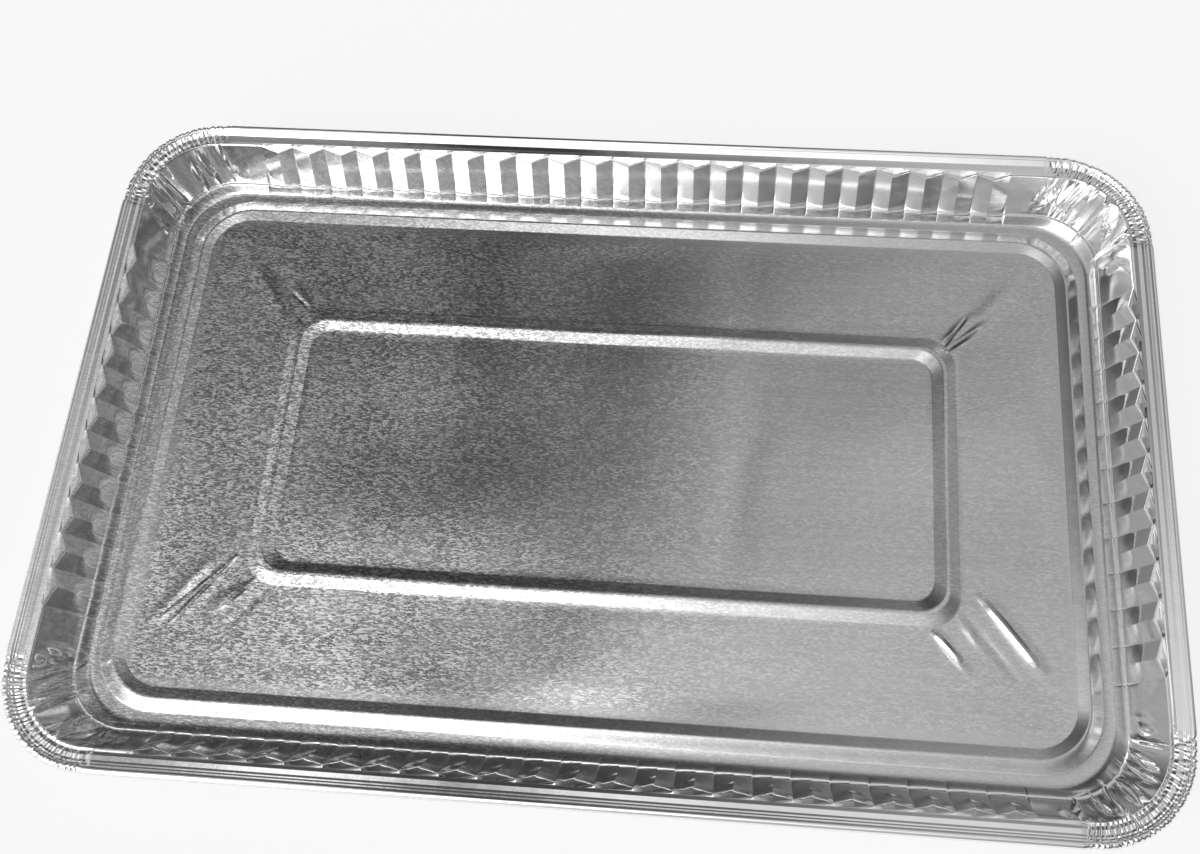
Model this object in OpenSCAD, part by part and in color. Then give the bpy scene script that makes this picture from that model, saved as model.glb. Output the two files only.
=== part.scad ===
// Shallow baking pan pressed from one sheet of aluminium foil.
// The sheet is described by one section, from the rolled rim to the flat centre,
// and every point of that section is carried round a rounded rectangle.

/* [Overall] */
// Length over the rolled rim
pan_l = 324; // [290:1:360]
// Width over the rolled rim
pan_w = 204.5; // [180:0.5:230]
// Height from the table to the top of the rolled rim
pan_h = 17.8; // [15:0.1:24]
// Foil thickness
foil = 0.1; // [0.08:0.01:0.2]

/* [Rim] */
// Corner radius of the rim, seen from above
rim_r = 28; // [25:0.5:32]
// Diameter of the rolled edge
bead_d = 2.5; // [2:0.1:3]
// Distance from the outside of the rim to the inner edge of the flat ledge
ledge_in = 6.4; // [5.5:0.1:7.5]
// Width of the rounding between the ledge and the wall
neck_w = 0.6; // [0.3:0.1:1]
// Depth of the small gathers pressed into the rim at the corners
crimp_h = 0.35; // [0.1:0.05:0.5]

/* [Wall] */
// Distance from the outside of the rim to the foot of the wall
wall_in = 13.4; // [12:0.1:15]
// Height of the foot of the wall above the table
wall_foot_h = 2.5; // [2:0.1:3.5]
// Corner radius along the foot of the wall
foot_r = 17.5; // [14:0.5:19]
// Spacing of the V pleats
pleat_pitch = 10.46; // [8:0.02:14]
// Depth of a pleat at the neck of the wall
pleat_depth = 1.5; // [0.5:0.1:2]
// Depth of a pleat at the foot of the wall
pleat_foot = 0.4; // [0.1:0.1:0.8]
// Height over which the neck slopes down between two pleats
neck_drop = 1.3; // [0.5:0.1:2]
// Shortest smooth panel between the last pleat and a corner
panel_min = 12; // [8:0.5:20]

/* [Corner gathers] */
// Folds of slack foil in the wall at each corner
fold_count = 7; // [5:1:9]
// How far the largest fold stands into the pan
fold_depth = 1.6; // [0.6:0.1:2]
// Seed for the uneven fold sizes
fold_seed = 12; // [1:1:99]

/* [Base] */
// Distance from the outside of the rim to the foot of the heel
heel_in = 15.7; // [15.2:0.1:17]
// Corner radius along the foot of the heel
heel_r = 18.5; // [14:0.5:20]
// Width of the flat band that the pan stands on
stand_w = 3.6; // [2.5:0.1:4.5]
// Corner radius of that band's inner edge
stand_r = 18; // [12:0.5:24]
// Width of the outer slope of the raised frame round the floor
frame_out_w = 4.1; // [3:0.1:5]
// Width of the inner slope of that frame
frame_in_w = 3; // [2:0.1:4]
// Corner radius along the top of that frame
frame_r = 15; // [10:0.5:20]
// Corner radius of that frame's inner edge
floor_r = 12; // [8:0.5:16]
// Height of that frame above the band that the pan stands on
frame_h = 1.5; // [1:0.1:2]
// Height of the floor above that band
floor_h = 0.6; // [0.2:0.1:0.9]

/* [Centre rib] */
// Distance from the outside of the rim to the outside of the centre rib
rib_in = 57.6; // [50:0.2:65]
// Corner radius of the rib's outer edge
rib_r = 9.5; // [8:0.5:14]
// Height of the rib above the floor
rib_h = 1.2; // [0.6:0.1:2]
// Width of each slope of the rib
rib_slope_w = 3; // [2:0.1:3]
// Width of the rib's narrow flat top
rib_top_w = 1.1; // [0.5:0.1:1.2]

/* [Floor puckers] */
// Height of the pucker of slack foil off each corner of the centre rib
pucker_h = 0.8; // [0.3:0.1:1.2]
// Distance from the rib to the far end of that pucker
pucker_l = 15; // [8:1:24]

/* [Hidden] */

// Steps round one corner: fine where the foil is gathered, plain on the base
gather_steps = 28;
base_steps = 10;
// Angles round the rolled edge, from the hidden raw edge to where it meets the ledge
bead_angles = [-35, -85, -135, -180, -225, -270, -305, -335];
// Share of the fold depth at the neck, halfway down and at the foot of the wall
fold_shares = [0.15, 1, 0.25];
// Height of the middle line of the wall, as a share from neck to foot
wall_mid = 0.5;
// How far each pleat's groove bites into the heel
heel_nick = 0.3;
// Drop of the foil across the rounding between the ledge and the wall
neck_round = 0.1;
// Distance from the outside of the rim to where the rolled edge meets the ledge,
// as a share of the roll's diameter
bead_foot = 1.25;
// Every second gather is smaller by this share, and each one also pulls the rim in
// by a share of its depth
small_gather = 0.6;
gather_pull = 0.5;
// How much the corner radius shrinks for each millimetre across the centre rib
rib_tighten = 0.4;
// Share of the rim gathers that reaches the inner edge of the ledge
ledge_gather = 0.6;
// Smallest and largest fold at a corner, as shares of fold_depth
fold_range = [0.45, 1];
// Where the smooth panel's own line stands between the last pleat and the corner
panel_share = 0.4;
// Places along a pucker, as shares of its length from the rib, and its height there
pucker_line = [[1, 0], [0.65, 1], [0.2, 0.8]];

bead_r = bead_d / 2;
ledge_h = pan_h - bead_r;
half = [pan_l / 2, pan_w / 2];
// Half length of the straight run of a long side and of a short side
runs = [half[0] - rim_r, half[1] - rim_r];
// Whole pleats that fit on a long side and on a short side
pleats = [for (run = runs) floor(2 * (run - panel_min) / pleat_pitch)];

// One place round the rim: its order within a quarter turn, its angle on the corner
// (or -1 on a straight side), its distance from the middle of the side,
// how far it is a pleat's ridge or groove, and its number on the corner.
function corner_places(steps) =
    [for (k = [0:steps]) [0.5 * k / steps, 90 * k / steps, 0, 0, 0, k]];
function side_place(quarter, x, ridge, groove) =
    let (run = runs[quarter % 2]) [0.75 - 0.25 * x / run, -1, x, ridge, groove, 0];
function middle_places(quarter) = [side_place(quarter, 0, 0, 0)];
function pleat_places(quarter) =
    let (n = pleats[quarter % 2],
         last = n * pleat_pitch / 2,
         panel = last + panel_share * (runs[quarter % 2] - last))
    concat([side_place(quarter, panel, 0, 0)],
           [for (k = [0:2 * n]) side_place(quarter, last - k * pleat_pitch / 2,
                                           k % 2, 1 - k % 2)],
           [side_place(quarter, -panel, 0, 0)]);
base_places = [for (q = [0:3]) corner_places(base_steps)];
rim_places = [for (q = [0:3]) concat(corner_places(gather_steps), middle_places(q))];
wall_places = [for (q = [0:3]) concat(corner_places(gather_steps), pleat_places(q))];

// One line of the section: distance in from the rim, height of the upper surface,
// corner radius, extra distance and drop at a pleat's ridge, nick at its groove,
// share of the corner folds, share of the rim gathers, the places it passes, and the
// share of the pucker at the middle of each corner.
function line(in, h, r, places, ridge_in = 0, ridge_drop = 0, nick = 0,
              fold = 0, crimp = 0, pucker = 0) =
    [in, h, r, ridge_in, ridge_drop, nick, fold, crimp, places, pucker];
function offset_line(in, h, places, ridge_in = 0, ridge_drop = 0, nick = 0,
                     fold = 0, crimp = 0) =
    line(in, h, rim_r - in, places, ridge_in, ridge_drop, nick, fold, crimp);

neck_in = ledge_in + neck_w;
neck_h = ledge_h - neck_round;
stand_in = heel_in + stand_w;
frame_in = stand_in + frame_out_w;
floor_in = frame_in + frame_in_w;
rib_top_in = rib_in + rib_slope_w;
rib_back_in = rib_top_in + rib_top_w;
panel_in = rib_back_in + rib_slope_w;
function blend(a, b, t) = a + (b - a) * t;
function rib_line(in, h) =
    line(in, foil + floor_h + h, rib_r - rib_tighten * (in - rib_in), base_places);

section = concat(
    [for (a = bead_angles)
        offset_line(bead_r * (1 + cos(a)), ledge_h + bead_r * sin(a), rim_places,
                    crimp = 1)],
    [offset_line(bead_foot * bead_d, ledge_h, rim_places, crimp = 1),
     offset_line(ledge_in, ledge_h, wall_places, crimp = ledge_gather),
     offset_line(neck_in, neck_h, wall_places, pleat_depth, neck_drop,
                 fold = fold_shares[0]),
     line(blend(neck_in, wall_in, wall_mid), blend(neck_h, wall_foot_h, wall_mid),
          blend(rim_r - neck_in, foot_r, wall_mid), wall_places,
          blend(pleat_depth, pleat_foot, wall_mid), fold = fold_shares[1]),
     line(wall_in, wall_foot_h, foot_r, wall_places, pleat_foot, fold = fold_shares[2]),
     line(heel_in, foil, heel_r, wall_places, nick = heel_nick),
     line(stand_in, foil, stand_r, base_places),
     line(frame_in, foil + frame_h, frame_r, base_places),
     line(floor_in, foil + floor_h, floor_r, base_places)],
    [for (p = pucker_line)
        line(rib_in - p[0] * pucker_l, foil + floor_h,
             blend(rib_r, floor_r, p[0] * pucker_l / (rib_in - floor_in)), base_places,
             pucker = p[1])],
    [rib_line(rib_in, 0),
     rib_line(rib_top_in, rib_h),
     rib_line(rib_back_in, rib_h),
     rib_line(panel_in, 0)]);
last_line = len(section) - 1;

// Uneven sizes of the folds at the four corners
fold_sizes = [for (q = [0:3]) rands(fold_range[0], fold_range[1], fold_count, fold_seed + q)];

// How far a fold stands into the pan at a share of the way round a corner
function fold_at(quarter, share) =
    let (k = min(floor(share * fold_count), fold_count - 1),
         phase = share * fold_count - k)
    fold_depth * fold_sizes[quarter][k] * sin(180 * phase);

// Small gathers alternate in and out from step to step, and end with the corner
function crimp_at(place) =
    place[1] < 0 ? 0 : crimp_h * (place[5] % 2) * (place[5] % 4 == 1 ? 1 : small_gather);

// Unit normal of one stretch of the section, towards the underside
function under(a, b) =
    let (d = [b[0] - a[0], b[1] - a[1]]) [d[1], -d[0]] / norm(d);
// Step from the upper surface to the underside at one line, mitred at its bend
function step_under(k) =
    let (before = under(section[max(k - 1, 0)], section[max(k, 1)]),
         after = k < last_line ? under(section[k], section[k + 1]) : [0, -1])
    foil * (before + after) / (1 + before * after);

// A point of the sheet, on its upper surface (skin = 0) or its underside (skin = 1)
function sheet_point(k, quarter, place, skin) =
    let (l = section[k],
         s = skin * step_under(k),
         crimp = l[7] * crimp_at(place),
         fold = place[1] < 0 ? 0 : l[6] * fold_at(quarter, place[1] / 90),
         in = l[0] + s[0] + place[3] * l[3] - place[4] * l[5] + fold + gather_pull * crimp,
         pucker = place[1] == 45 ? l[9] * pucker_h : 0,
         z = l[1] + s[1] - place[3] * l[4] - crimp + pucker,
         a = half[quarter % 2] - l[0],
         b = half[(quarter + 1) % 2] - l[0],
         reach = l[2] - (in - l[0]),
         p = place[1] < 0 ? [place[2], b + l[0] - in]
             : [a - l[2] + reach * cos(place[1]), b - l[2] + reach * sin(place[1])],
         turn = 90 * quarter)
    [p[0] * cos(turn) - p[1] * sin(turn), p[0] * sin(turn) + p[1] * cos(turn), z];

function ring(k, skin) =
    [for (q = [0:3], place = section[k][8][q]) sheet_point(k, q, place, skin)];
function ring_order(k) = [for (q = [0:3], place = section[k][8][q]) q + place[0]];
function total(list, n) = n == 0 ? 0 : list[n - 1] + total(list, n - 1);
function flip(faces) = [for (f = faces) [f[2], f[1], f[0]]];

// Triangles between two rings, which may have different numbers of points
function band(oa, order_a, ob, order_b) =
    let (n = len(order_a), m = len(order_b),
         next_a = [for (i = [0:n]) i + 1 < n ? order_a[i + 1] : 4 + order_a[0]],
         next_b = [for (j = [0:m]) j + 1 < m ? order_b[j + 1] : 4 + order_b[0]])
    [for (i = 0, j = 0, along_a = next_a[0] <= next_b[0]; i + j < n + m;
          i = along_a ? i + 1 : i, j = along_a ? j : j + 1,
          along_a = i < n && (j >= m || next_a[i] <= next_b[j]))
        along_a ? [ob + j % m, oa + (i + 1) % n, oa + i % n]
                : [ob + j % m, ob + (j + 1) % m, oa + i % n]];

// The whole sheet: upper surface, underside and the raw edge that joins them
module pan() {
    orders = [for (k = [0:last_line]) ring_order(k)];
    sizes = [for (order = orders) len(order)];
    starts = [for (k = [0:last_line]) total(sizes, k)];
    skin_size = total(sizes, last_line + 1);
    points = [for (skin = [0, 1], k = [0:last_line]) each ring(k, skin)];
    upper = concat(
        [for (k = [0:last_line - 1])
            each band(starts[k], orders[k], starts[k + 1], orders[k + 1])],
        [for (i = [1:sizes[last_line] - 2])
            [starts[last_line], starts[last_line] + i + 1, starts[last_line] + i]]);
    lower = [for (f = flip(upper)) f + [skin_size, skin_size, skin_size]];
    edge = band(skin_size, orders[0], 0, orders[0]);
    color("#d3d5d8") polyhedron(points, concat(upper, lower, edge));
}

pan();
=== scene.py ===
# A shallow baking pan pressed from aluminium foil, with a rolled rim and gathered corners
import math

import bpy
import numpy as np
from mathutils import Matrix, Vector


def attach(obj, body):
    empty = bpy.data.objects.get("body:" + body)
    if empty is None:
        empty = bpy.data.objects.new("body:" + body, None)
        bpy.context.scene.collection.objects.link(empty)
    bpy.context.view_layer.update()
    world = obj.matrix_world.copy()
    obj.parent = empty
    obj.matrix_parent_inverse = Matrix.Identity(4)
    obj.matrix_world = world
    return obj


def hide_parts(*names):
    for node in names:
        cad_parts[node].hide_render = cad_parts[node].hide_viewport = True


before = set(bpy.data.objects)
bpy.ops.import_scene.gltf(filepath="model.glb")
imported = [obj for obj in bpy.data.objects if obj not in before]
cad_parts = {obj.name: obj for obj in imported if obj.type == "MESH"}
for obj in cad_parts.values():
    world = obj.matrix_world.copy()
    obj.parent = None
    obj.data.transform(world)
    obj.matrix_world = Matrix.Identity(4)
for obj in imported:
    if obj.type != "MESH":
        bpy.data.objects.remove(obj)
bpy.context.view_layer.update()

# Sizes of the pan in millimetres, as in the part's source
HALF = np.array([162.0, 102.25])
RIM_R = 28.0
RUN = HALF - RIM_R
FOIL = 0.1
BEAD_R = 1.25
LEDGE_H = 16.55
LEDGE_IN = 6.4
NECK_IN, NECK_H = 7.0, 16.4
FOOT_IN, FOOT_H, FOOT_R = 13.4, 2.5, 17.5
HEEL_IN, HEEL_R = 15.7, 18.5
PITCH = 10.46
PLEATS = (23, 11)
LAST = np.array([PLEATS[0], PLEATS[1]]) * PITCH / 2
RIDGE_DEPTH, RIDGE_DROP = 1.5, 1.3
# Length of a corner measured halfway down the wall
GATHER = 17.0 * math.pi / 2

rng = np.random.default_rng(7)


def blend(a, b, t):
    return a + (b - a) * t


def smooth(a, b, x):
    t = np.clip((np.asarray(x, float) - a) / (b - a), 0, 1)
    return t * t * (3 - 2 * t)


# Places round the pan

class Places:
    """Places round the rim: quarter, angle on the corner or -1, and distance along the side."""

    def __init__(self, corner_steps, side_lists):
        quarter, angle, along = [], [], []
        for q in range(4):
            for k in range(corner_steps + 1):
                quarter.append(q), angle.append(90 * k / corner_steps), along.append(0.0)
            for x in side_lists[q % 2]:
                quarter.append(q), angle.append(-1.0), along.append(x)
        self.quarter = np.array(quarter)
        self.angle = np.array(angle)
        self.along = np.array(along)
        self.on_corner = self.angle >= 0
        self.size = len(quarter)
        run = RUN[self.quarter % 2]
        # Distance from the start of the nearest corner, measured halfway down the wall
        early = -(run + self.along)
        late = GATHER + run - self.along
        self.gather = np.where(self.on_corner, self.angle / 90 * GATHER,
                               np.where(self.along > 0, late, early))
        self.corner = np.where(self.on_corner | (self.along > 0), self.quarter,
                               (self.quarter + 1) % 4)
        self.last = LAST[self.quarter % 2]


def pleat_sides():
    """Places on a long and a short side: close together at each groove and ridge."""
    sides = []
    for s in range(2):
        xs = []
        for k in range(2 * PLEATS[s] + 1):
            c = LAST[s] - k * PITCH / 2
            near = (0.45, 0.12, -0.12, -0.45) if k % 2 == 0 else (0.12, -0.12)
            xs += [c + d for d in near]
            if k < 2 * PLEATS[s]:
                xs.append(c - PITCH / 4)
        panel = np.linspace(LAST[s], RUN[s], 13)[1:-1]
        xs = [*panel[::-1], *xs, *(-panel)]
        sides.append(xs)
    return sides


def spread_side(run, gaps, wide=6):
    """Places that are close together near the corners and wide apart in the middle."""
    ends, at = [], run
    for g in gaps:
        at -= g
        ends.append(at)
    middle = np.linspace(ends[-1], -ends[-1], max(3, int(2 * ends[-1] / wide)))[1:-1]
    return [*ends, *middle, *[-e for e in ends[::-1]]]


rim_places = Places(120, [spread_side(r, [0.42] * 12 + [0.8, 2, 5], 16) for r in RUN])
wall_places = Places(112, pleat_sides())
base_places = Places(16, [spread_side(r, [1.3] * 10 + [1.8, 2.4, 3.2, 4, 5]) for r in RUN])


# Folds of slack foil

def jagged(s, pitch, reach, spread, seed):
    """Uneven V shapes along a line: 0 at each valley and up to 1 at each crest."""
    r = np.random.default_rng(seed)
    gaps = pitch * (1 + spread * (2 * r.random(int(reach / pitch) + 40) - 1))
    marks = np.cumsum(gaps) - 12
    sizes = 0.35 + 0.65 * r.random(len(marks))
    lean = 0.3 + 0.4 * r.random(len(marks))
    k = np.clip(np.searchsorted(marks, s) - 1, 0, len(marks) - 2)
    f = (s - marks[k]) / (marks[k + 1] - marks[k])
    return sizes[k] * np.where(f < lean[k], f / lean[k], (1 - f) / (1 - lean[k]))


def fold(path, span, sides, height):
    return path, span, sides, height


# The larger folds at each corner. A fold's path is its distance round the corner at the neck,
# halfway down and at the foot of the wall; then the stretch of wall that it crosses,
# how wide it is before and after its crest, and how far the crest stands into the pan.
CORNER_FOLDS = [
    # right, far
    [fold((-1.5, -3.4, -5.2), (0.1, 1.0), (1.4, 0.8), 0.7),
     fold((0.8, 0.2, 0.0), (-0.1, 0.62), (2.2, 0.4), 1.0),
     fold((1.6, 2.2, 3.0), (-0.2, 1.1), (0.5, 1.6), 1.1),
     fold((9.0, 5.8, 4.6), (0.05, 0.62), (0.6, 1.6), 0.7),
     fold((11.6, 7.6, 6.0), (-0.2, 0.6), (2.4, 0.6), 0.9),
     fold((11.9, 12.0, 12.2), (-0.3, 1.15), (1.2, 1.2), 1.5),
     fold((16.0, 16.4, 16.6), (-0.1, 1.1), (1.2, 0.7), 1.0),
     fold((17.6, 18.6, 19.2), (0.0, 1.1), (0.9, 1.0), 1.1),
     fold((18.6, 20.6, 21.8), (-0.1, 1.0), (0.7, 1.0), 0.8),
     fold((20.4, 22.4, 23.4), (0.1, 1.0), (0.7, 0.9), 0.7),
     fold((21.6, 26.0, 29.0), (0.3, 0.95), (1.0, 0.5), 1.0),
     fold((20.8, 24.8, 27.9), (0.3, 0.98), (0.7, 0.6), 0.9),
     fold((26.0, 29.4, 32.0), (0.0, 0.9), (1.5, 0.6), 0.6)],
    # left, far
    [fold((-3.8, -5.4, -7.0), (0.45, 0.85), (1.0, 0.5), 0.5),
     fold((4.0, 0.4, -6.0), (0.45, 0.95), (0.6, 3.4), 0.9),
     fold((1.0, 0.4, 0.4), (-0.1, 0.7), (0.5, 1.5), 0.9),
     fold((8.4, 6.2, 5.8), (0.1, 1.0), (0.7, 1.5), 1.1),
     fold((10.2, 10.0, 10.4), (0.25, 1.1), (1.1, 1.2), 1.2),
     fold((16.4, 16.6, 16.4), (-0.1, 0.3), (0.6, 0.6), 0.5),
     fold((19.2, 18.9, 18.0), (-0.1, 1.15), (0.8, 1.7), 1.3),
     fold((20.4, 21.4, 22.2), (-0.1, 1.15), (0.9, 0.8), 1.2),
     fold((22.6, 23.2, 23.9), (0.1, 1.1), (0.9, 1.4), 1.0),
     fold((26.0, 28.0, 28.8), (-0.2, 0.45), (1.6, 0.5), 0.9),
     fold((27.0, 29.4, 31.8), (0.3, 1.02), (0.5, 0.9), 1.1),
     fold((26.4, 27.6, 30.6), (0.45, 1.0), (0.6, 0.6), 0.7)],
    # left, near
    [fold((-2.6, -4.4, -4.6), (0.3, 1.05), (0.7, 0.7), 0.9),
     fold((0.6, -2.2, -2.8), (0.0, 1.05), (0.8, 0.5), 1.0),
     fold((2.0, 0.0, -0.6), (0.1, 0.6), (0.9, 0.7), 0.9),
     fold((0.6, -0.6, -0.7), (0.5, 1.1), (0.4, 0.8), 0.8),
     fold((4.4, 2.4, 1.4), (0.0, 0.9), (0.9, 0.6), 0.8),
     fold((8.0, 5.2, 3.0), (0.1, 1.1), (0.7, 0.6), 0.9),
     fold((8.6, 6.4, 4.6), (0.3, 1.1), (0.6, 0.8), 0.9),
     fold((9.2, 8.0, 6.6), (0.0, 1.1), (0.6, 0.7), 0.9),
     fold((10.4, 9.2, 8.8), (-0.2, 1.1), (0.7, 1.4), 1.3),
     fold((15.4, 16.8, 14.8), (0.0, 1.05), (0.8, 0.8), 1.1),
     fold((19.4, 18.4, 17.0), (-0.2, 1.1), (0.8, 0.7), 1.0),
     fold((17.4, 18.8, 21.0), (0.2, 1.1), (0.6, 0.9), 1.0),
     fold((20.6, 21.8, 23.4), (0.2, 0.9), (0.8, 1.2), 0.6),
     fold((27.6, 26.6, 24.0), (0.0, 1.05), (1.8, 0.7), 0.8),
     fold((28.0, 28.2, 27.0), (0.0, 1.05), (0.6, 0.8), 1.0),
     fold((30.0, 31.8, 29.4), (0.3, 1.0), (1.6, 0.5), 0.6)],
    # right, near
    [fold((-2.6, -4.0, -6.0), (0.1, 0.75), (2.2, 0.5), 0.9),
     fold((-1.8, -0.6, 1.4), (-0.1, 1.1), (0.4, 1.4), 1.2),
     fold((8.0, 5.6, 6.2), (0.2, 1.1), (0.5, 1.4), 1.1),
     fold((8.0, 8.6, 11.0), (-0.2, 1.15), (1.4, 0.5), 1.2),
     fold((11.6, 13.4, 14.4), (-0.1, 1.1), (1.3, 1.8), 0.9),
     fold((17.6, 18.6, 20.4), (0.1, 1.1), (1.0, 0.6), 0.9),
     fold((18.8, 21.4, 23.6), (0.2, 1.05), (1.2, 0.7), 1.3),
     fold((26.0, 26.4, 26.4), (0.0, 1.05), (1.2, 0.4), 0.8),
     fold((27.8, 29.0, 31.2), (0.2, 0.95), (0.7, 1.1), 1.1),
     fold((30.0, 32.0, 32.6), (0.3, 1.0), (0.6, 0.8), 0.4)],
]


def small_folds(seed):
    """Faint seeded creases between the larger folds of one corner."""
    r = np.random.default_rng(seed)
    folds = []
    for k in range(14):
        t = -3.5 + (GATHER + 7) * r.random()
        w = 0.9 * r.random() - 0.1
        lean = 3.0 * (r.random() - 0.5)
        folds.append(fold((t - lean / 2, t, t + lean / 2), (w, w + 0.25 + 0.4 * r.random()),
                          (0.4 + 0.9 * r.random(), 0.4 + 0.9 * r.random()),
                          0.1 + 0.22 * r.random()))
    return folds


def fold_height(t, w, folds):
    """How far the folds stand into the pan at distance t round the corner and share w down."""
    out = np.zeros_like(t)
    for (a, b, c), (start, end), (before, after), height in folds:
        at = a * (1 - w) * (1 - 2 * w) + b * 4 * w * (1 - w) + c * w * (2 * w - 1)
        reach = smooth(start, start + 0.3, w) * (1 - smooth(end - 0.3, end, w))
        u = (t - at) / (0.3 + 0.7 * reach)
        rise = 1 - np.where(u < 0, -u / before, u / after) ** 1.5
        out = np.maximum(out, 1.5 * height * reach * np.clip(rise, 0, 1))
    return out


# One ring of the sheet

def side_share(p, side):
    """1 along one side of the pan, fading to 0 round the corner at each of its ends."""
    turn = np.clip(p.angle / 90, 0, 1)
    return np.where(p.quarter == side, np.where(p.on_corner, smooth(0.3, 1, turn), 1.0),
                    np.where((p.quarter == (side + 1) % 4) & p.on_corner,
                             1 - smooth(0, 0.7, turn), 0.0))


def wall_inward(p, w):
    """Pleats, corner folds and grooves: how far the foil stands in at share w down the wall."""
    s = np.abs(p.along)
    cycle = np.abs((p.last - p.along) / PITCH % 1.0 - 0.5) * 2
    ridge = np.where(p.on_corner | (s > p.last), 0, 1 - cycle)
    far = (p.quarter == 0)
    depth = np.where(far, blend(RIDGE_DEPTH, 0.75, np.clip(w, 0, 1)),
                     blend(RIDGE_DEPTH, 0.12, smooth(0.35, 0.92, w)))
    if w > 1:
        depth = depth * max(0, 1 - (w - 1) / 0.15)
    out = ridge * depth
    # The pointed foot of each groove, which bites into the heel
    near_groove = np.abs((p.last - p.along) / PITCH % 1.0 + 0.5) % 1.0 - 0.5
    tick = np.clip(1 - np.abs(near_groove) * PITCH / 0.5, 0, 1)
    tick = np.where(p.on_corner | (s > p.last + 0.3), 0, tick)
    out -= 0.28 * tick * smooth(0.5, 0.95, w)
    for q in range(4):
        here = (p.corner == q) & (p.gather > -14) & (p.gather < GATHER + 12)
        t = p.gather[here]
        fade = smooth(-9, -6.5, t) * (1 - smooth(GATHER + 7, GATHER + 9, t))
        wave = fold_height(t, w, CORNER_FOLDS[q]) + fold_height(t, w, SMALL_FOLDS[q])
        out[here] += wave * fade
    return out, ridge


SMALL_FOLDS = [small_folds(20 + q) for q in range(4)]


def ring(p, inset, height, radius, inward=0.0, lift=0.0, scale_side=False):
    """Points of one ring of the sheet, from its distance in from the rim and its height."""
    q = p.quarter
    a, b = HALF[q % 2] - inset, HALF[(q + 1) % 2] - inset
    end = a - radius
    run = RUN[q % 2]
    far = np.sign(p.along) * (p.last + (np.abs(p.along) - p.last) * (end - p.last)
                              / (run - p.last))
    x = p.along * end / run if scale_side else np.where(np.abs(p.along) > p.last, far, p.along)
    rad = np.radians(np.where(p.on_corner, p.angle, 0))
    reach = radius - inward
    px = np.where(p.on_corner, a - radius + reach * np.cos(rad), x)
    py = np.where(p.on_corner, b - radius + reach * np.sin(rad), b - inward)
    c, s = np.array([1, 0, -1, 0])[q], np.array([0, 1, 0, -1])[q]
    order = np.where(p.on_corner, q + p.angle / 180, q + 0.75 - 0.25 * x / run)
    z = np.broadcast_to(height + lift, px.shape)
    return np.stack([px * c - py * s, px * s + py * c, z], 1), order


rings = []


def add_ring(p, points):
    rings.append((p, points[0], points[1]))


# The rolled edge and the ledge, gathered at the corners
def rim_arc(p):
    """Distance round the rim from the start of the nearest corner."""
    arc = RIM_R * math.pi / 2
    return np.where(p.on_corner, p.angle / 90 * arc, p.gather + (arc - GATHER) * (p.along > 0))


def rim_gather(p, inset, w):
    """Height of the rim's gathers and how far they pull it in, at share w across the rim."""
    arc = RIM_R * math.pi / 2
    s = rim_arc(p)
    on = smooth(-3.5, -0.5, s) * (1 - smooth(arc + 0.5, arc + 3.5, s))
    fine, coarse = np.zeros(p.size), np.zeros(p.size)
    for q in range(4):
        here = p.corner == q
        t = s[here] * (RIM_R - 0.0) / RIM_R
        fine[here] = jagged(t - 1.5 * w, 1.15, arc + 24, 0.45, 40 + q)
        lean = (2.6, 1.9, 2.9, 2.2)[q]
        coarse[here] = jagged(t + lean * w, 1.9, arc + 24, 0.5, 60 + q)
    return (0.75 * fine * (1 - 0.4 * w) + 0.75 * coarse) * on


for a in (-45, -80, -115, -150, -182, -204, -226, -247, -266, -286, -308):
    rad = math.radians(a)
    share = 0.0 if a > -180 else 0.25 * (-a - 180) / 155
    g = rim_gather(rim_places, 0, share)
    inset = BEAD_R * (1 + math.cos(rad)) + 0.02
    lower = math.sin(rad) < 0
    add_ring(rim_places, ring(rim_places, inset, LEDGE_H + BEAD_R * math.sin(rad), RIM_R - inset,
                              inward=0.55 * g, lift=-0.35 * g * (0 if lower else 1)))
# Its inner slope has two fine steps, which fade on the far side. Then comes the ledge
for inset, height, far_height, share in (
        (2.1, 17.36, 17.42, 0.23), (2.16, 17.34, 17.38, 0.24), (2.46, 17.34, 17.24, 0.28),
        (2.53, 17.31, 17.2, 0.29), (2.83, 17.1, 17.04, 0.34), (2.9, 17.08, 17.0, 0.35),
        (3.22, 17.08, 16.84, 0.4), (3.3, 17.05, 16.8, 0.41), (3.74, 16.8, 16.6, 0.49),
        (3.83, 16.77, 16.56, 0.5), (5.05, 16.74, 16.5, 0.74), (5.2, 16.71, 16.5, 0.76),
        (5.95, 16.36, 16.5, 0.9)):
    g = rim_gather(rim_places, inset, share)
    height = blend(height, far_height, side_share(rim_places, 0))
    add_ring(rim_places, ring(rim_places, inset, height, RIM_R - inset, lift=-0.5 * g))

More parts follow.
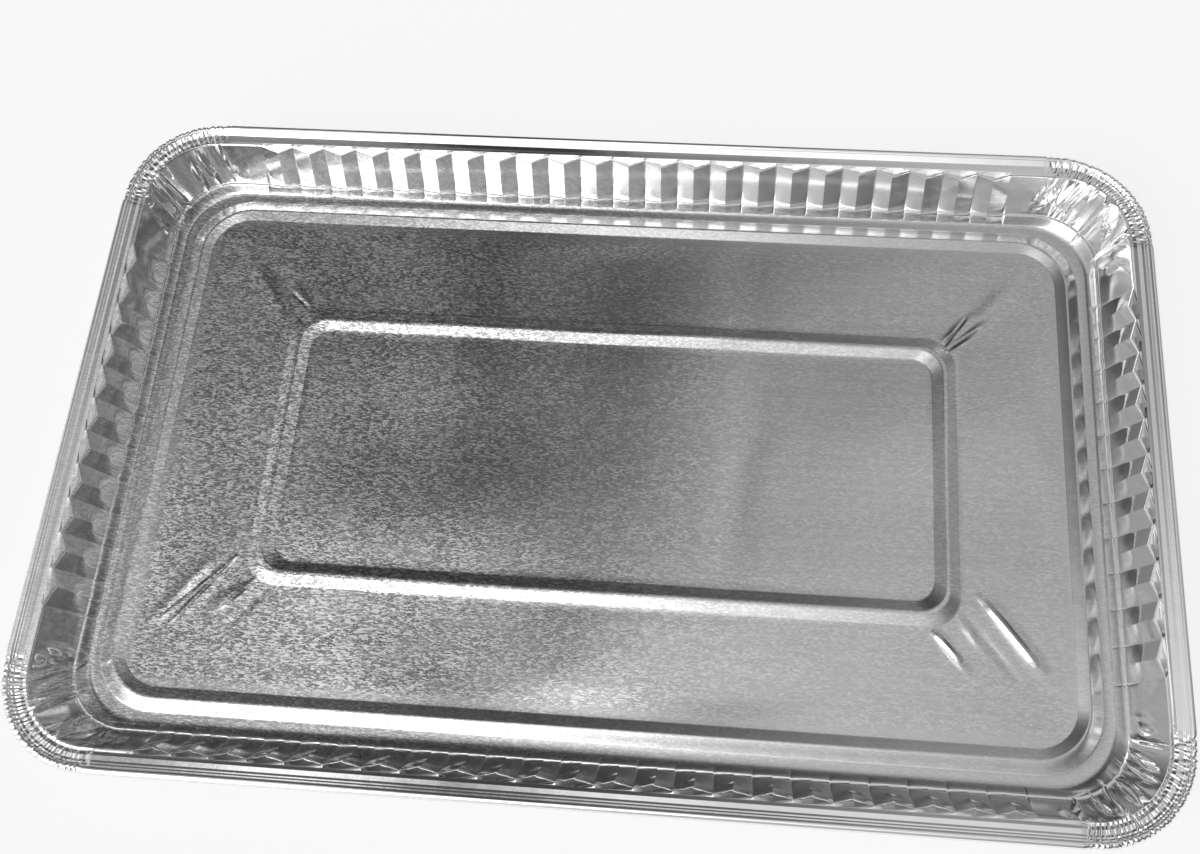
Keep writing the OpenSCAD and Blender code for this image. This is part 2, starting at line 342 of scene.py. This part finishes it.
# The neck and the wall
for inset, height, far_height, w in ((6.2, 16.36, 16.46, -0.3), (6.75, 16.44, 16.4, -0.06)):
    height = blend(height, far_height, side_share(wall_places, 0))
    inward, ridge = wall_inward(wall_places, max(w, -0.2))
    share = 0.55 if w > -0.1 else 0.0
    g = rim_gather(wall_places, inset, 1.0)
    pull = share * inward + (0 if w > -0.1 else 0.12) * ridge
    add_ring(wall_places, ring(wall_places, inset, height, RIM_R - inset,
                               inward=pull,
                               lift=-0.45 * g - share * RIDGE_DROP * ridge))
for w in (0.0, 0.05, 0.15, 0.26, 0.37, 0.48, 0.58, 0.68, 0.78, 0.88, 0.97, 1.0):
    inward, ridge = wall_inward(wall_places, w)
    drop = RIDGE_DROP * ridge * (1 - w)
    # The near wall is a little steeper above and flatter below
    inward = inward - 0.75 * math.sin(math.pi * min(w, 1)) * side_share(wall_places, 2)
    add_ring(wall_places, ring(wall_places, blend(NECK_IN, FOOT_IN, w),
                               blend(NECK_H, FOOT_H, w), blend(RIM_R - NECK_IN, FOOT_R, w),
                               inward=inward, lift=-drop))
# The wall's foot turns over a small lip before it drops to the base
for inset, height in ((13.85, 2.74), (14.1, 2.62), (14.6, 1.95), (15.3, 1.0), (15.9, 0.4)):
    share = (inset - FOOT_IN) / (HEEL_IN + 0.25 - FOOT_IN)
    inward, ridge = wall_inward(wall_places, 1 + 0.15 * share)
    add_ring(wall_places, ring(wall_places, inset, height, blend(FOOT_R, HEEL_R, share),
                               inward=inward))

# The base: stand band, raised frame, floor, centre rib and centre panel
BASE_LINES = [
    (16.4, 0.22, 18.45), (17.0, 0.13, 18.3), (18.0, 0.1, 18.2), (19.1, 0.1, 18.1),
    (19.6, 0.22, 17.8), (21.1, 0.85, 16.6), (22.6, 1.48, 15.4), (23.0, 1.56, 15.1),
    (23.5, 1.54, 14.9), (26.1, 0.76, 12.2),
    (26.5, 0.7, 12.0), (28.0, 0.7, 11.9)]
for inset in np.arange(30, 57, 2.0):
    BASE_LINES.append((inset, 0.7, blend(11.9, 9.5, (inset - 28) / 29.6)))
BASE_LINES += [
    (57.3, 0.7, 9.5), (57.9, 0.82, 9.4), (60.3, 1.8, 8.4), (60.8, 1.9, 8.2), (61.5, 1.9, 7.9),
    (62.0, 1.8, 7.7), (64.4, 0.82, 6.8), (65.0, 0.7, 6.6)]
for inset in (67, 70, 74, 79, 84, 89, 94, 98.5):
    BASE_LINES.append((inset, 0.7, min(6.6, 0.95 * (HALF[1] - inset))))
BASE_LINES.append((HALF[1], 0.7, 0.0))
for inset, height, radius in BASE_LINES:
    add_ring(base_places, ring(base_places, inset, height, radius, scale_side=True))

# Puckers of slack foil off the corners of the rib: start, end, width, height
PUCKERS = [
    ((-116, -39), (-130, -58), 2.6, 0.55), ((-112, -42), (-124, -60), 1.4, 0.35),
    ((-101, -42), (-113, -54), 1.9, 0.7), ((-98, -46), (-106, -58), 1.2, -0.3),
    ((97, -46), (106, -57), 1.6, 0.55), ((103, -41), (110, -50), 1.5, 0.6),
    ((113, -38), (128, -57), 3.0, 0.6), ((108, -44), (120, -58), 1.6, -0.3),
    ((-122, 62), (-107, 41), 4.2, 0.3), ((-106, 53), (-99, 44), 1.5, 0.26),
    ((100, 42), (110, 54), 1.5, 0.6), ((103, 42), (118, 54), 1.3, 0.55),
    ((110, 50), (124, 66), 4.0, 0.3)]


def base_relief(x, y):
    """Uneven height of the floor: the puckers and the slow waves of thin foil."""
    z = np.zeros_like(x)
    for (x0, y0), (x1, y1), width, height in PUCKERS:
        dx, dy = x1 - x0, y1 - y0
        length = math.hypot(dx, dy)
        t = ((x - x0) * dx + (y - y0) * dy) / length ** 2
        off = np.abs((x - x0) * dy - (y - y0) * dx) / length
        along = smooth(-0.15, 0.25, t) * (1 - smooth(0.55, 1.1, t))
        z += height * along * np.clip(1 - off / width, 0, 1) ** 1.3
    return z


def floor_waves(x, y):
    r = np.random.default_rng(3)
    z = np.zeros_like(x)
    for k in range(9):
        turn = r.random() * math.pi
        length = 45 + 70 * r.random()
        phase = r.random() * 6.28
        z += 0.09 * np.sin((x * math.cos(turn) + y * math.sin(turn)) * 6.283 / length + phase)
    # A shallow ripple that runs from the back over the centre panel
    off = (x - 41 - 2.5 * np.sin(y / 14)) / 5
    return z - 0.2 * np.exp(-off ** 2) * smooth(-48, -26, y)


# Joining the rings into one sheet

def band(first, count, ids, n_a, order_a, n_b, order_b):
    """Faces between two rings that may have different numbers of points."""
    a, b = first, ids
    faces, i, j = [], 0, 0
    while i < n_a or j < n_b:
        next_a = order_a[i + 1] if i + 1 < n_a else 4 + order_a[0]
        next_b = order_b[j + 1] if j + 1 < n_b else 4 + order_b[0]
        go_a = i < n_a and (j >= n_b or next_a <= next_b)
        if go_a:
            faces.append((a + i % n_a, a + (i + 1) % n_a, b + j % n_b))
            i += 1
        else:
            faces.append((a + i % n_a, b + (j + 1) % n_b, b + j % n_b))
            j += 1
    return faces


def make_sheet():
    points, starts = [], []
    total = 0
    for p, xyz, order in rings:
        starts.append(total)
        points.append(xyz)
        total += p.size
    points = np.concatenate(points).astype(float)
    base_start = next(starts[k] for k, r in enumerate(rings) if r[0] is base_places)
    x, y = points[base_start:, 0], points[base_start:, 1]
    inset = np.minimum(HALF[0] - np.abs(x), HALF[1] - np.abs(y))
    between = smooth(26.5, 30, inset) * (1 - smooth(55, 58.5, inset))
    points[base_start:, 2] += base_relief(x, y) * between
    points[base_start:, 2] += floor_waves(x, y) * smooth(26, 36, inset)
    faces = []
    for k in range(len(rings) - 1):
        (pa, _, oa), (pb, _, ob) = rings[k], rings[k + 1]
        if pa is pb:
            n = pa.size
            faces += [(starts[k] + i, starts[k] + (i + 1) % n, starts[k + 1] + (i + 1) % n,
                       starts[k + 1] + i) for i in range(n)]
        else:
            faces += band(starts[k], None, starts[k + 1], pa.size, oa, pb.size, ob)
    # The last ring closes on the centre line, where its points meet in pairs
    key = np.round(points, 4)
    _, keep, where = np.unique(key, axis=0, return_index=True, return_inverse=True)
    where = where.reshape(-1)
    points = points[keep]
    clean = []
    for f in faces:
        g = []
        for v in (int(where[v]) for v in f):
            if v not in g:
                g.append(v)
        if len(g) > 2:
            clean.append(tuple(g))
    edge = [int(where[v]) for v in range(rings[0][0].size)]
    return points, clean, edge


def point_normals(points, faces):
    """Normals weighted by area, so that a wide facet stays flat beside a narrow bend."""
    tri = np.array([(f[0], f[k], f[k + 1]) for f in faces for k in range(1, len(f) - 1)])
    a, b, c = points[tri[:, 0]], points[tri[:, 1]], points[tri[:, 2]]
    n = np.cross(b - a, c - a)
    out = np.zeros_like(points)
    for k in range(3):
        np.add.at(out, tri[:, k], n)
    return out / np.maximum(np.linalg.norm(out, axis=1, keepdims=True), 1e-12)


def sheet_object():
    points, faces, edge = make_sheet()
    normals = point_normals(points, faces)
    n = len(points)
    both = np.concatenate([points, points - FOIL * normals])
    under = [tuple(v + n for v in f[::-1]) for f in faces]
    size = len(edge)
    joint = [(edge[(i + 1) % size], edge[i], edge[i] + n, edge[(i + 1) % size] + n)
             for i in range(size)]
    faces = faces + under + joint
    mesh = bpy.data.meshes.new("foil_sheet")
    mesh.from_pydata((both * 0.001).tolist(), [], faces)
    mesh.validate()
    mesh.shade_smooth()
    mesh.normals_split_custom_set_from_vertices(point_normals(both, faces).tolist())
    thing = bpy.data.objects.new("foil_sheet", mesh)
    bpy.context.scene.collection.objects.link(thing)
    return thing


# Materials

class Value:
    """A socket in a material, so that shader maths reads as plain Python."""

    def __init__(self, net, socket):
        self.net, self.socket = net, socket

    def _math(self, operation, *others):
        return self.net.add("ShaderNodeMath", {"operation": operation}, [self, *others])

    def __add__(self, other): return self._math("ADD", other)
    def __radd__(self, other): return self._math("ADD", other)
    def __sub__(self, other): return self._math("SUBTRACT", other)
    def __rsub__(self, other): return self.net.add("ShaderNodeMath", {"operation": "SUBTRACT"},
                                                   [other, self])
    def __mul__(self, other): return self._math("MULTIPLY", other)
    def __rmul__(self, other): return self._math("MULTIPLY", other)
    def __truediv__(self, other): return self._math("DIVIDE", other)
    def __pow__(self, other): return self._math("POWER", other)
    def size(self): return self._math("ABSOLUTE")
    def wave(self): return self._math("SINE")
    def turn(self, other): return self._math("ARCTAN2", other)

    def along(self, way):
        """How far a direction or place lies along a fixed vector."""
        return self.net.add("ShaderNodeVectorMath", {"operation": "DOT_PRODUCT"},
                            [self, way], out="Value")

    def between(self, low, high):
        """0 below the low end, 1 above the high end and smooth between."""
        return self.net.add("ShaderNodeMapRange", {"interpolation_type": "SMOOTHSTEP"},
                            {"Value": self, "From Min": low, "From Max": high})

    def at_least(self, other): return self._math("MAXIMUM", other)
    def at_most(self, other): return self._math("MINIMUM", other)


class Net:
    """The nodes of one material, or of the studio's sky."""

    def __init__(self, block):
        block.use_nodes = True
        self.block = block
        self.tree = block.node_tree
        self.tree.nodes.clear()

    def add(self, kind, settings=None, inputs=(), out=0):
        node = self.tree.nodes.new(kind)
        for key, value in (settings or {}).items():
            if key == "stops":
                ramp = node.color_ramp
                for k, (place, shade) in enumerate(value):
                    stop = ramp.elements[k] if k < 2 else ramp.elements.new(place)
                    stop.position, stop.color = place, (shade, shade, shade, 1)
            else:
                setattr(node, key, value)
        pairs = inputs.items() if isinstance(inputs, dict) else enumerate(inputs)
        for key, value in pairs:
            if isinstance(value, Value):
                self.tree.links.new(value.socket, node.inputs[key])
            elif value is not None:
                node.inputs[key].default_value = value
        return Value(self, node.outputs[out]) if node.outputs else None


# Sharp creases on the puckers: start, end, half width and height
CREASES = [
    ((-107, -36), (-127.5, -57), 0.9, 0.6), ((-109, -38), (-124.5, -58.5), 0.9, 0.6),
    ((-100, -42), (-110, -53), 1.0, 0.5),
    ((109, -34), (125.5, -54), 1.4, 0.6), ((96, -45.5), (104.5, -54), 1.1, 0.5),
    ((-100, 45), (-106.5, 50.5), 0.9, -0.25),
    ((100, 41), (108.5, 53), 0.8, -0.25), ((101, 40.5), (113, 49.5), 0.9, -0.34)]


def foil_material():
    net = Net(bpy.data.materials.new("foil"))
    place = net.add("ShaderNodeTexCoord", out="Object")

    def noise(stretch, detail=0.0, sides="3D"):
        at = net.add("ShaderNodeMapping", {}, {"Vector": place, "Scale": stretch})
        return net.add("ShaderNodeTexNoise", {"noise_dimensions": sides},
                       {"Vector": at, "Scale": 1.0, "Detail": detail}, out="Fac")

    side = place.along((1, 0, 0)).between(-0.1, 0.07)
    floor = (0.1345 - place.along((1, 0, 0)).size()).between(0.0, 0.003)
    floor = floor * (0.0745 - place.along((0, 1, 0)).size()).between(0.0, 0.003)
    cell = net.add("ShaderNodeMapping", {}, {"Vector": place, "Scale": (1050, 2900, 2900)})
    cell = net.add("ShaderNodeTexVoronoi", {"voronoi_dimensions": "2D"},
                   {"Vector": cell, "Scale": 1.0}, out="Color")
    # Bright cells of the rolled grain, used for painted glints
    glint_cell = cell.along((1, 0, 0))
    grain = noise((1500, 3000, 3000), 0.0, "2D")
    patch = noise((60, 110, 110), 1.0)
    streak = noise((24, 1200, 1200), 1.0)
    dent = noise((130, 130, 130), 1.0)
    low = 1 - place.along((0, 0, 1)).between(0.0018, 0.0035)
    # How strong the grain's tone, the painted glints and the grain's bump are: strongest on the
    # left, where the light falls brightest, weaker on the walls, strongest on the floor
    bold = (0.16 + 0.84 * (1 - side)) * (0.4 + 1.2 * patch) * (0.2 + 0.25 * low + 0.55 * floor)
    rough = 0.07 + 0.11 * low + 0.04 * patch
    # Painted glints: the bright cells lighten the colour as if the grain caught the light, over the
    # real grain's own tone
    shine = glint_cell ** 2 * 0.8 + 0.5 * (grain - 0.5)
    tone = 0.92 - 0.3 * low + bold * (1.2 * shine - 0.34) + 0.12 * floor * (streak - 0.5)
    tone = tone.at_least(0.2).at_most(0.98)
    colour = net.add("ShaderNodeCombineColor", {}, {0: tone, 1: tone, 2: tone * 1.006})
    height = bold * grain * 0.7 + streak * 0.1 + dent * (2.2 - 1.0 * floor)
    for (x0, y0), (x1, y1), width, rise in CREASES:
        run, rise_y, length = x1 - x0, y1 - y0, math.hypot(x1 - x0, y1 - y0)
        way = (1000 * run / length ** 2, 1000 * rise_y / length ** 2, 0)
        across = (-1000 * rise_y / length / width, 1000 * run / length / width, 0)
        t = place.along(way) - (x0 * way[0] + y0 * way[1]) / 1000
        off = (place.along(across) - (x0 * across[0] + y0 * across[1]) / 1000).size()
        height = height + (1 - off).at_least(0) * (t * (1 - t)).at_least(0) * (rise * 200)
    bump = net.add("ShaderNodeBump", {}, {"Strength": 1.0, "Distance": 0.00002,
                                          "Height": height})
    shader = net.add("ShaderNodeBsdfPrincipled", {}, {
        "Base Color": colour, "Metallic": 1.0, "Roughness": rough, "Normal": bump})
    net.add("ShaderNodeOutputMaterial", {}, {"Surface": shader})
    return net.block


def floor_material():
    net = Net(bpy.data.materials.new("pale_floor"))
    path = net.tree.nodes.new("ShaderNodeLightPath")
    seen = Value(net, path.outputs["Is Camera Ray"]) + Value(net, path.outputs["Is Glossy Ray"])
    seen = (seen + Value(net, path.outputs["Is Transmission Ray"])).at_most(1.0)
    pale = net.add("ShaderNodeBsdfDiffuse", {}, {"Color": (0.93, 0.93, 0.93, 1)})
    white = net.add("ShaderNodeEmission", {}, {"Color": (1, 1, 1, 1), "Strength": 1.0})
    shader = net.add("ShaderNodeMixShader", {}, {0: seen * 0.8, 1: pale, 2: white})
    net.add("ShaderNodeOutputMaterial", {}, {"Surface": shader})
    return net.block


# The piece
sheet = sheet_object()
sheet.data.materials.append(foil_material())
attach(sheet, "root")
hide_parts("pan")

# The floor
floor_mesh = bpy.data.meshes.new("floor")
floor_mesh.from_pydata([(-4, -4, 0), (4, -4, 0), (4, 4, 0), (-4, 4, 0)], [], [(0, 1, 2, 3)])
floor = bpy.data.objects.new("floor", floor_mesh)
bpy.context.scene.collection.objects.link(floor)
floor_mesh.materials.append(floor_material())


# Light

def softbox(name, place, aim, size, power):
    lamp = bpy.data.lights.new(name, "AREA")
    lamp.shape = "RECTANGLE"
    lamp.size, lamp.size_y = size
    lamp.energy = power
    thing = bpy.data.objects.new(name, lamp)
    thing.location = place
    thing.rotation_euler = (Vector(aim) - Vector(place)).to_track_quat("-Z", "Y").to_euler()
    bpy.context.scene.collection.objects.link(thing)
    return thing


def shine(size, radiance):
    """Power of a softbox that looks as bright as the given radiance."""
    return radiance * math.pi * size[0] * size[1] * math.pi / math.pi


def heading(azimuth, elevation, distance=1.0):
    """The direction of an azimuth and an elevation in degrees."""
    a, e = math.radians(azimuth), math.radians(elevation)
    return (distance * math.cos(a) * math.cos(e), distance * math.sin(a) * math.cos(e),
            distance * math.sin(e))


key = (1.9, 3.0)
softbox("softbox_front", heading(-129, 38, 2.5), (0, 0, 0), key, shine(key, 1.35))


def studio_sky():
    """A soft grey room: bright in front, pale on the left, darker behind and on the right."""
    sky = bpy.data.worlds.new("studio")
    bpy.context.scene.world = sky
    net = Net(sky)
    way = net.add("ShaderNodeTexCoord", out="Generated")
    up = way.along((0, 0, 1))
    azimuth = way.along((0, 1, 0)).turn(way.along((1, 0, 0)))
    left = way.along(heading(186, 24)).between(0.72, 0.96)
    left_high = way.along(heading(158, 52)).between(0.86, 0.98)
    right = way.along((1, 0, 0)).between(0.1, 0.5)
    back_right = way.along(heading(46, 28)).between(0.76, 0.96)
    right_high = way.along(heading(50, 64)).between(0.9, 0.995)
    behind = way.along(heading(121, 52)).between(0.87, 0.985)
    strip = 1 - way.along((-0.98, -0.19, 0)).size().between(0.03, 0.13)
    strip = strip * way.along(heading(101, 0)).between(0.25, 0.45) * (1 - up.between(0.78, 0.88))
    front = way.along((0, -1, 0)).between(0.14, 0.3) * way.along((0.9, -0.44, 0)).between(0.75, 0.5)
    bright = front * way.along((-1, 0, 0)).between(0.0, 0.3)
    front_high = way.along(heading(-98, 66)).between(0.955, 0.995)
    # Tall panels round the sides and the back of the room
    panels = (azimuth * 17).wave().between(-0.2, 0.2) * (1 - up.between(0.6, 0.85)) * (1 - front)
    # Soft lamps overhead
    over = way.along((-0.09, 0.11, 0.99)).between(0.992, 0.999)
    lamps = over + 0.5 * way.along(heading(137, 67)).between(0.993, 0.999)
    lamps = lamps + 1.8 * way.along(heading(150, 72)).between(0.995, 0.9992)
    lamps = lamps + 2.4 * way.along(heading(-141, 82.5)).between(0.985, 0.996)
    beam = 1 - (way.along((1, 0, 0)) - 0.012).size().between(0.012, 0.05)
    wide_beam = 1 - way.along((0.983, 0, 0.183)).size().between(0.03, 0.1)
    beams = (0.4 * beam + wide_beam) * up.between(0.84, 0.9) * (1 - up.between(0.975, 0.99))
    level = 0.2 + 0.6 * left + 0.2 * left_high + 0.24 * back_right + 0.4 * front + 0.6 * bright
    level = level + 0.12 * up.between(0.7, 0.88)
    level = level * (1 - 0.45 * behind) * (1 - 0.45 * strip) * (1 - 0.22 * panels)
    level = level + 0.34 * up.between(0.9, 1.0) + 0.16 * right_high + 0.36 * lamps - 0.24 * beams
    level = level - 0.14 * way.along(heading(122, 73)).between(0.985, 0.998)
    level = level + 0.4 * front_high + 0.16 * way.along(heading(16, 29)).between(0.93, 0.99)
    level = level * (1 + 0.22 * up.between(0.7, 0.82))
    # Two narrow bright gaps at the back
    for turn in (1.05, 2.2):
        gap = (1 - (azimuth - turn).size().between(0.03, 0.08)) * (1 - up.between(0.5, 0.6))
        level = level + 0.7 * gap
    # The pale floor goes on to the far edge of the room
    low = (1 - up.between(0.06, 0.17)) * (1 - 0.85 * right)
    level = level * (1 - low) + 0.85 * low
    shade = net.add("ShaderNodeBackground", {}, {"Strength": level.at_least(0.04)})
    net.add("ShaderNodeOutputWorld", {}, {"Surface": shade})


studio_sky()

# Camera
camera_data = bpy.data.cameras.new("camera")
camera = bpy.data.objects.new("camera", camera_data)
bpy.context.scene.collection.objects.link(camera)
look = Vector((-0.076828, 0.403496, -0.911750))
up = Vector((-0.048195, 0.911881, 0.407615))
right = look.cross(up).normalized()
up = right.cross(look).normalized()
camera.matrix_world = Matrix((
    (right.x, up.x, -look.x, 0.036132),
    (right.y, up.y, -look.y, -0.130013),
    (right.z, up.z, -look.z, 0.393476),
    (0, 0, 0, 1)))
camera_data.sensor_fit = "HORIZONTAL"
camera_data.sensor_width = 36.0
camera_data.lens = 41.043
camera_data.shift_x = -0.02368
camera_data.shift_y = -0.0833
camera_data.clip_start = 0.01
bpy.context.scene.camera = camera
bpy.context.scene.view_settings.view_transform = "Standard"
